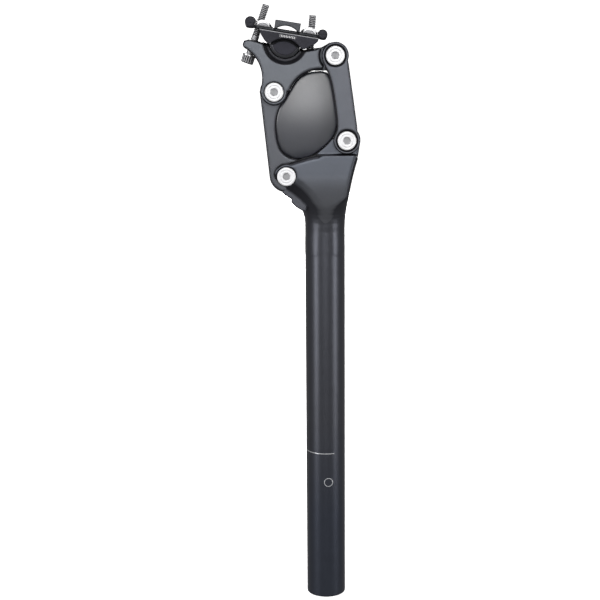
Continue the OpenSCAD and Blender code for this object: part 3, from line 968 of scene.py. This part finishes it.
# pivot bolts: one head mesh, turned and moved to the eight places
head_mesh = formed("pivot_head", pivot_head_shape, (-HEAD_R, 0, -HEAD_R),
                   (HEAD_R, HEAD_T, HEAD_R), 0.25, "post")
head_mesh.data.materials.append(BRIGHT_MAT)
head_mesh.data.materials.append(SOCKET_SHADE_MAT)
# faces in the socket and the dish round it get the darker steel, as painted shade
for face in head_mesh.data.polygons:
    if face.center.y > 0.8 * MM and math.hypot(face.center.x, face.center.z) < DISH * MM:
        face.material_index = 1
for corner, p, body in (("lower_rear", D, "post"), ("lower_front", C, "front_link"),
                        ("upper_rear", A, "head"), ("upper_front", B, "front_link")):
    for side, sign in (("right", -1), ("left", 1)):
        piece = added(f"bolt_head_{corner}_{side}", head_mesh.data)
        # each socket stands at its own angle
        turn = Matrix.Rotation(0.35 * (p[0] + p[1]), 4, "Y")
        if sign > 0:
            turn = Matrix.Rotation(math.pi, 4, "Z") @ turn
        place = (p[0] * MM, (SEAT + HEAD_T) * sign * MM, p[1] * MM)
        piece.matrix_world = Matrix.Translation(place) @ turn
        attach(piece, body)
        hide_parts(f"pivot_bolt_{corner}_{side}")
        dress(f"bushing_{corner}_{side}", BUSHING_MAT)
    dress("axle_" + corner, AXLE_MAT)
bpy.data.objects.remove(head_mesh)

# clamp bolts: thread pitch, depth and length, and the bevel at the threaded end
PITCH, THREAD_DEPTH, THREADED, END_BEVEL = 1.15, 0.6, 22.0, 0.4
# cap: radius and height, depth and number of its knurled teeth
CAP_R, CAP_H, KNURL, TEETH = 4.25, 5.0, 0.45, 16
# a crest is the skin between these distances from a part's full radius
CREST_IN, CREST_OUT = 0.12, 0.1
# cap from its socket to the shank: (distance from the seat, radius)
CAP = ([(-3.4, 0.3), (-3.2, 2.25), (-4.95, 2.3), (-CAP_H, 2.35), (-CAP_H, 3.7), (-4.5, 4.2)]
       + [(-4.3 + 4.1 * i / 20, CAP_R) for i in range(21)] + [(0, 4.1), (0, 1.5)])


def thread(start, end):
    """Radius of a shank threaded between two distances along it."""
    def shape(s, r, t):
        if not start < s < end:
            return r
        away = abs(2 * ((s / PITCH + t / (2 * math.pi)) % 1) - 1)
        fade = min(1, (s - start) / PITCH, (end - s) / PITCH)
        return r - THREAD_DEPTH * fade * (1 - away * 1.6 if away < 0.62 else 0)
    return shape


def knurled(low, high):
    """Radius of a cap whose outside is toothed between two distances along it."""
    def shape(s, r, t):
        if low < s < high and r > 4:
            return r - KNURL * (0.5 + 0.5 * math.cos(TEETH * t)) ** 2
        return r
    return shape


for name, (nut, lean, s0, s1) in BOLTS.items():
    n = from_clamp(*nut)
    a = math.radians(lean)
    along = (math.sin(a), 0, math.cos(a))
    place = (n[0], 0, n[1])
    full = s1 - END_BEVEL - s0
    rows = int(full / 0.1)
    shank = ([(s0 - 0.2, BOLT_R)] + [(s0 + full * i / rows, BOLT_R) for i in range(rows + 1)]
             + [(s1, BOLT_R - END_BEVEL)])
    rod = lathe("clamp_shank_" + name, shank, along, place, name + "_bolt", 48,
                thread(s1 - THREADED, s1))
    finish_with(rod, BOLT_MAT, "black_bolt")
    brighten_crests(rod, place, along, BOLT_R - CREST_IN, BOLT_R + CREST_OUT)
    head = lathe("clamp_head_" + name, [(s0 + s, r) for s, r in CAP], along, place,
                 name + "_bolt", 144, knurled(s0 - 4.4, s0 - 0.3))
    finish_with(head, BOLT_MAT, "black_bolt", "clamp_bolt_" + name)
    brighten_crests(head, place, along, CAP_R - CREST_IN, CAP_R + CREST_OUT)
    dress("clamp_washer_" + name, WASHER_MAT)


# ---------- floor and lights ----------

# the backdrop glows evenly for the camera alone: it lights and shades nothing
FLOOR_Z = -0.0015


def bowl(name, z, radius, height, bend, turns=48, steps=12):
    """A round floor that turns up into a wall on all sides."""
    mesh = bpy.data.meshes.new(name)
    angles = [i * math.pi / 2 / steps for i in range(steps + 1)]
    rows = [(radius + bend * math.sin(t), bend * (1 - math.cos(t))) for t in angles]
    rows.append((radius + bend, height))
    verts = [(0, 0, z)]
    for out, up in rows:
        around = (2 * math.pi * i / turns for i in range(turns))
        verts += [(out * math.cos(t), out * math.sin(t), z + up) for t in around]
    faces = [(0, 1 + i, 1 + (i + 1) % turns) for i in range(turns)]
    for k in range(len(rows) - 1):
        for i in range(turns):
            a, b = 1 + k * turns + i, 1 + k * turns + (i + 1) % turns
            faces.append((a, a + turns, b + turns, b))
    mesh.from_pydata(verts, [], faces)
    mesh.shade_smooth()
    o = added(name, mesh)
    return o


backdrop = bowl("backdrop", FLOOR_Z, 5.0, 6.0, 1.5)
pale = bpy.data.materials.new("backdrop_white")
pale.use_nodes = True
for socket, value in (("Base Color", (0.8, 0.8, 0.8, 1)), ("Roughness", 0.9),
                      ("Specular IOR Level", 0.0), ("Emission Color", (1, 1, 1, 1)),
                      ("Emission Strength", 1.0)):
    pale.node_tree.nodes["Principled BSDF"].inputs[socket].default_value = value
backdrop.data.materials.append(pale)
backdrop.visible_glossy = False
backdrop.visible_diffuse = False
backdrop.visible_shadow = False

world = bpy.data.worlds.new("studio")
bpy.context.scene.world = world
world.use_nodes = True
world.node_tree.nodes["Background"].inputs["Color"].default_value = (1, 1, 1, 1)
world.node_tree.nodes["Background"].inputs["Strength"].default_value = 0.30


# name, place, height aimed at, width, height, power in watts
SOFTBOXES = [
    ("left", (-1.25, -0.88, 0.45), 0.25, 0.55, 1.5, 16),
    ("right", (1.25, -0.80, 0.45), 0.25, 0.50, 1.5, 14),
    ("front", (0.0, -2.2, 0.75), 0.25, 1.2, 1.5, 22),
    ("top", (0.0, -0.6, 1.7), 0.35, 1.0, 1.0, 12),
    ("rear", (0.0, 2.2, 0.75), 0.25, 2.2, 1.6, 75),
]
for name, place, aim, width, height, power in SOFTBOXES:
    light = bpy.data.lights.new(name, "AREA")
    light.shape = "RECTANGLE"
    light.size, light.size_y = width, height
    light.energy = power
    lamp = added(name, light)
    lamp.visible_camera = False
    lamp.location = place
    look_at = Vector((0, 0, aim)) - Vector(place)
    lamp.rotation_euler = look_at.to_track_quat("-Z", "Y").to_euler()
